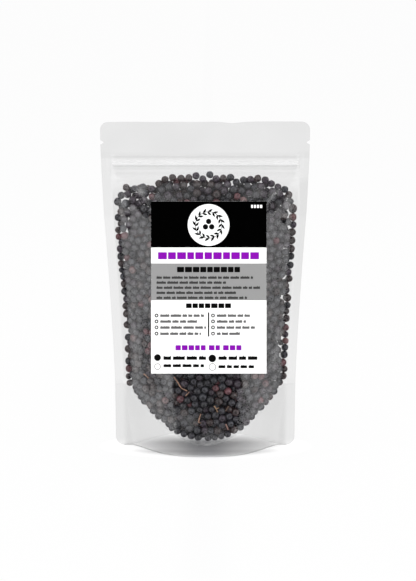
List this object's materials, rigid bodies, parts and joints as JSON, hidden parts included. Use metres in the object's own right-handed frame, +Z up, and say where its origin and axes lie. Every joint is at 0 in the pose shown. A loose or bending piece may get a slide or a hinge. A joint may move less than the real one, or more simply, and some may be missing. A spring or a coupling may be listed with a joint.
{
  "type": "stand-up pouch of dried elderberries",
  "caption": "Clear stand-up pouch with a press-to-close strip, sealed mouth and folded bottom, filled with loose dried elderberries, with a plain banded paper label on its front.",
  "frame": {"origin": "middle of the pouch's standing edges, on the surface that it stands on", "axes": "+Z up the height of the pouch, -Y out of the labelled front, +X to the right seen from the front"},
  "size_m": [0.13, 0.0504, 0.2095],
  "materials": {
    "clear_film": "gloss",
    "zip_plastic": "satin",
    "label_paper": "satin",
    "dried_berry": "satin",
    "dry_stalk": "matte"
  },
  "bodies": {
    "root": {"front_panel": "clear_film", "back_panel": "clear_film", "bottom_gusset": "clear_film", "zip_groove_strip": "zip_plastic", "zip_ridge_strip": "zip_plastic", "front_label": "label_paper", "dried_berry_heap": "dried_berry", "loose_berry_01": "dried_berry", "loose_berry_02": "dried_berry", "loose_berry_03": "dried_berry", "loose_berry_04": "dried_berry", "loose_berry_05": "dried_berry", "loose_berry_06": "dried_berry", "loose_berry_07": "dried_berry", "loose_berry_08": "dried_berry", "loose_berry_09": "dried_berry", "loose_berry_10": "dried_berry", "loose_berry_11": "dried_berry", "loose_berry_12": "dried_berry", "loose_berry_13": "dried_berry", "loose_berry_14": "dried_berry", "loose_berry_15": "dried_berry", "loose_berry_16": "dried_berry", "loose_berry_17": "dried_berry", "loose_berry_18": "dried_berry", "loose_berry_19": "dried_berry", "loose_berry_20": "dried_berry", "loose_berry_21": "dried_berry", "loose_berry_22": "dried_berry", "loose_berry_23": "dried_berry", "loose_berry_24": "dried_berry", "loose_berry_25": "dried_berry", "stalk_bit_1": "dry_stalk", "stalk_bit_2": "dry_stalk", "stalk_bit_3": "dry_stalk", "stalk_bit_4": "dry_stalk", "stalk_bit_5": "dry_stalk", "stalk_bit_6": "dry_stalk"}
  },
  "joints": []
}
